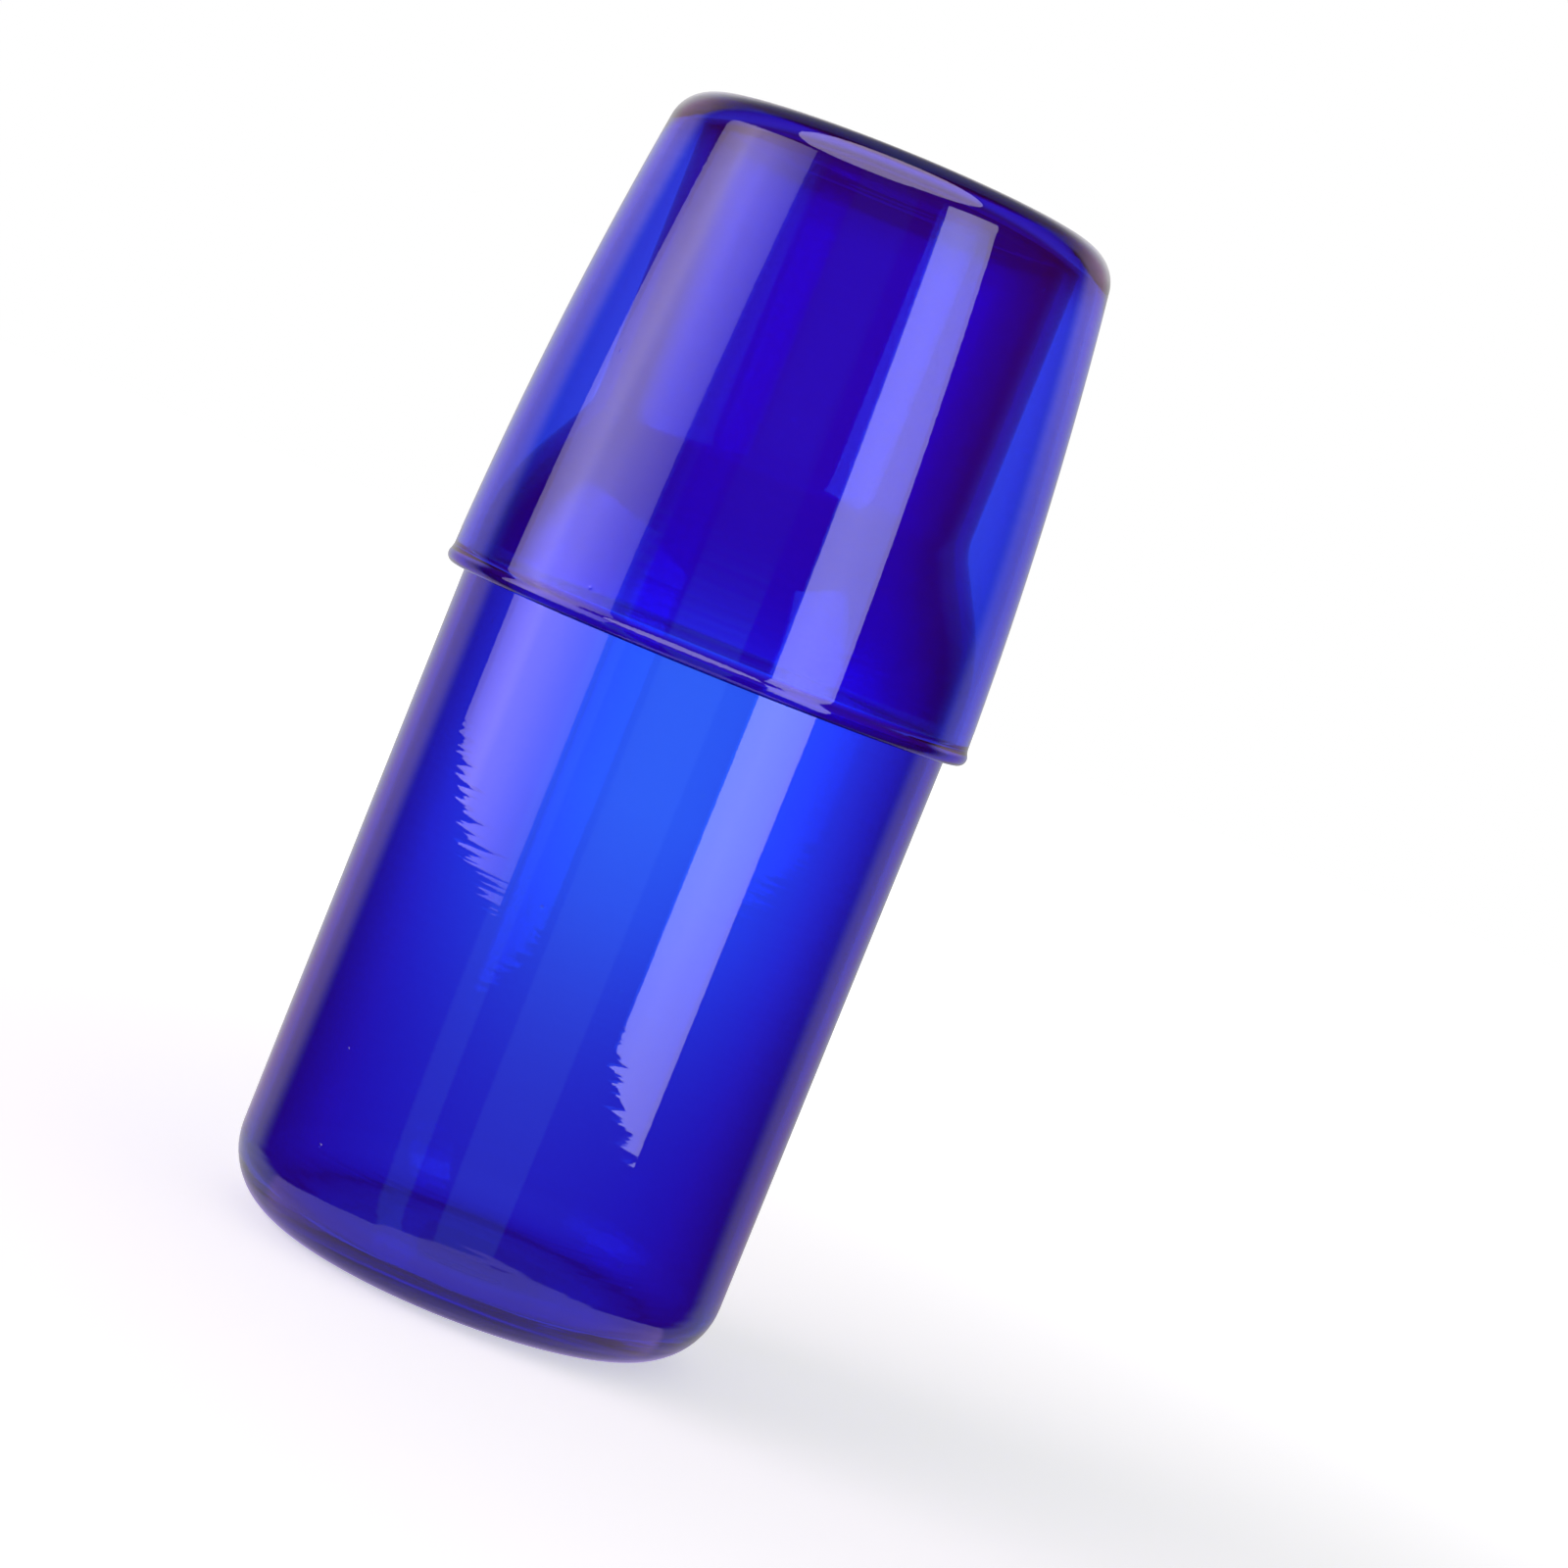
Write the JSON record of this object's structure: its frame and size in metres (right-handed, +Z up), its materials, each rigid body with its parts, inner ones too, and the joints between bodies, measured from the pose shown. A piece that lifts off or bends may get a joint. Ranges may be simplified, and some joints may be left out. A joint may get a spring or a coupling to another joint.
{
  "type": "glass carafe with tumbler",
  "caption": "Straight-sided blue glass carafe with a sloping shoulder and a wide neck, closed by its own drinking tumbler, which sits upside down over the neck and lifts off.",
  "frame": {"origin": "on the surface the carafe stands on, at the middle of its foot", "axes": "+Z up the common axis of carafe and tumbler, from the foot to the mouth; both pieces are round, so X and Y are free"},
  "size_m": [0.0822, 0.0822, 0.1764],
  "materials": {
    "carafe_glass": "clear cobalt-blue blown glass, fire-polished",
    "tumbler_glass": "clear cobalt-blue blown glass, fire-polished rim"
  },
  "bodies": {
    "carafe": {"carafe": "carafe_glass"},
    "tumbler": {"tumbler": "tumbler_glass"}
  },
  "joints": [
    {"name": "tumbler_lift", "type": "slide", "parent": "carafe", "child": "tumbler", "axis": [0, 0, 1], "range_m": [0, 0.09]}
  ]
}
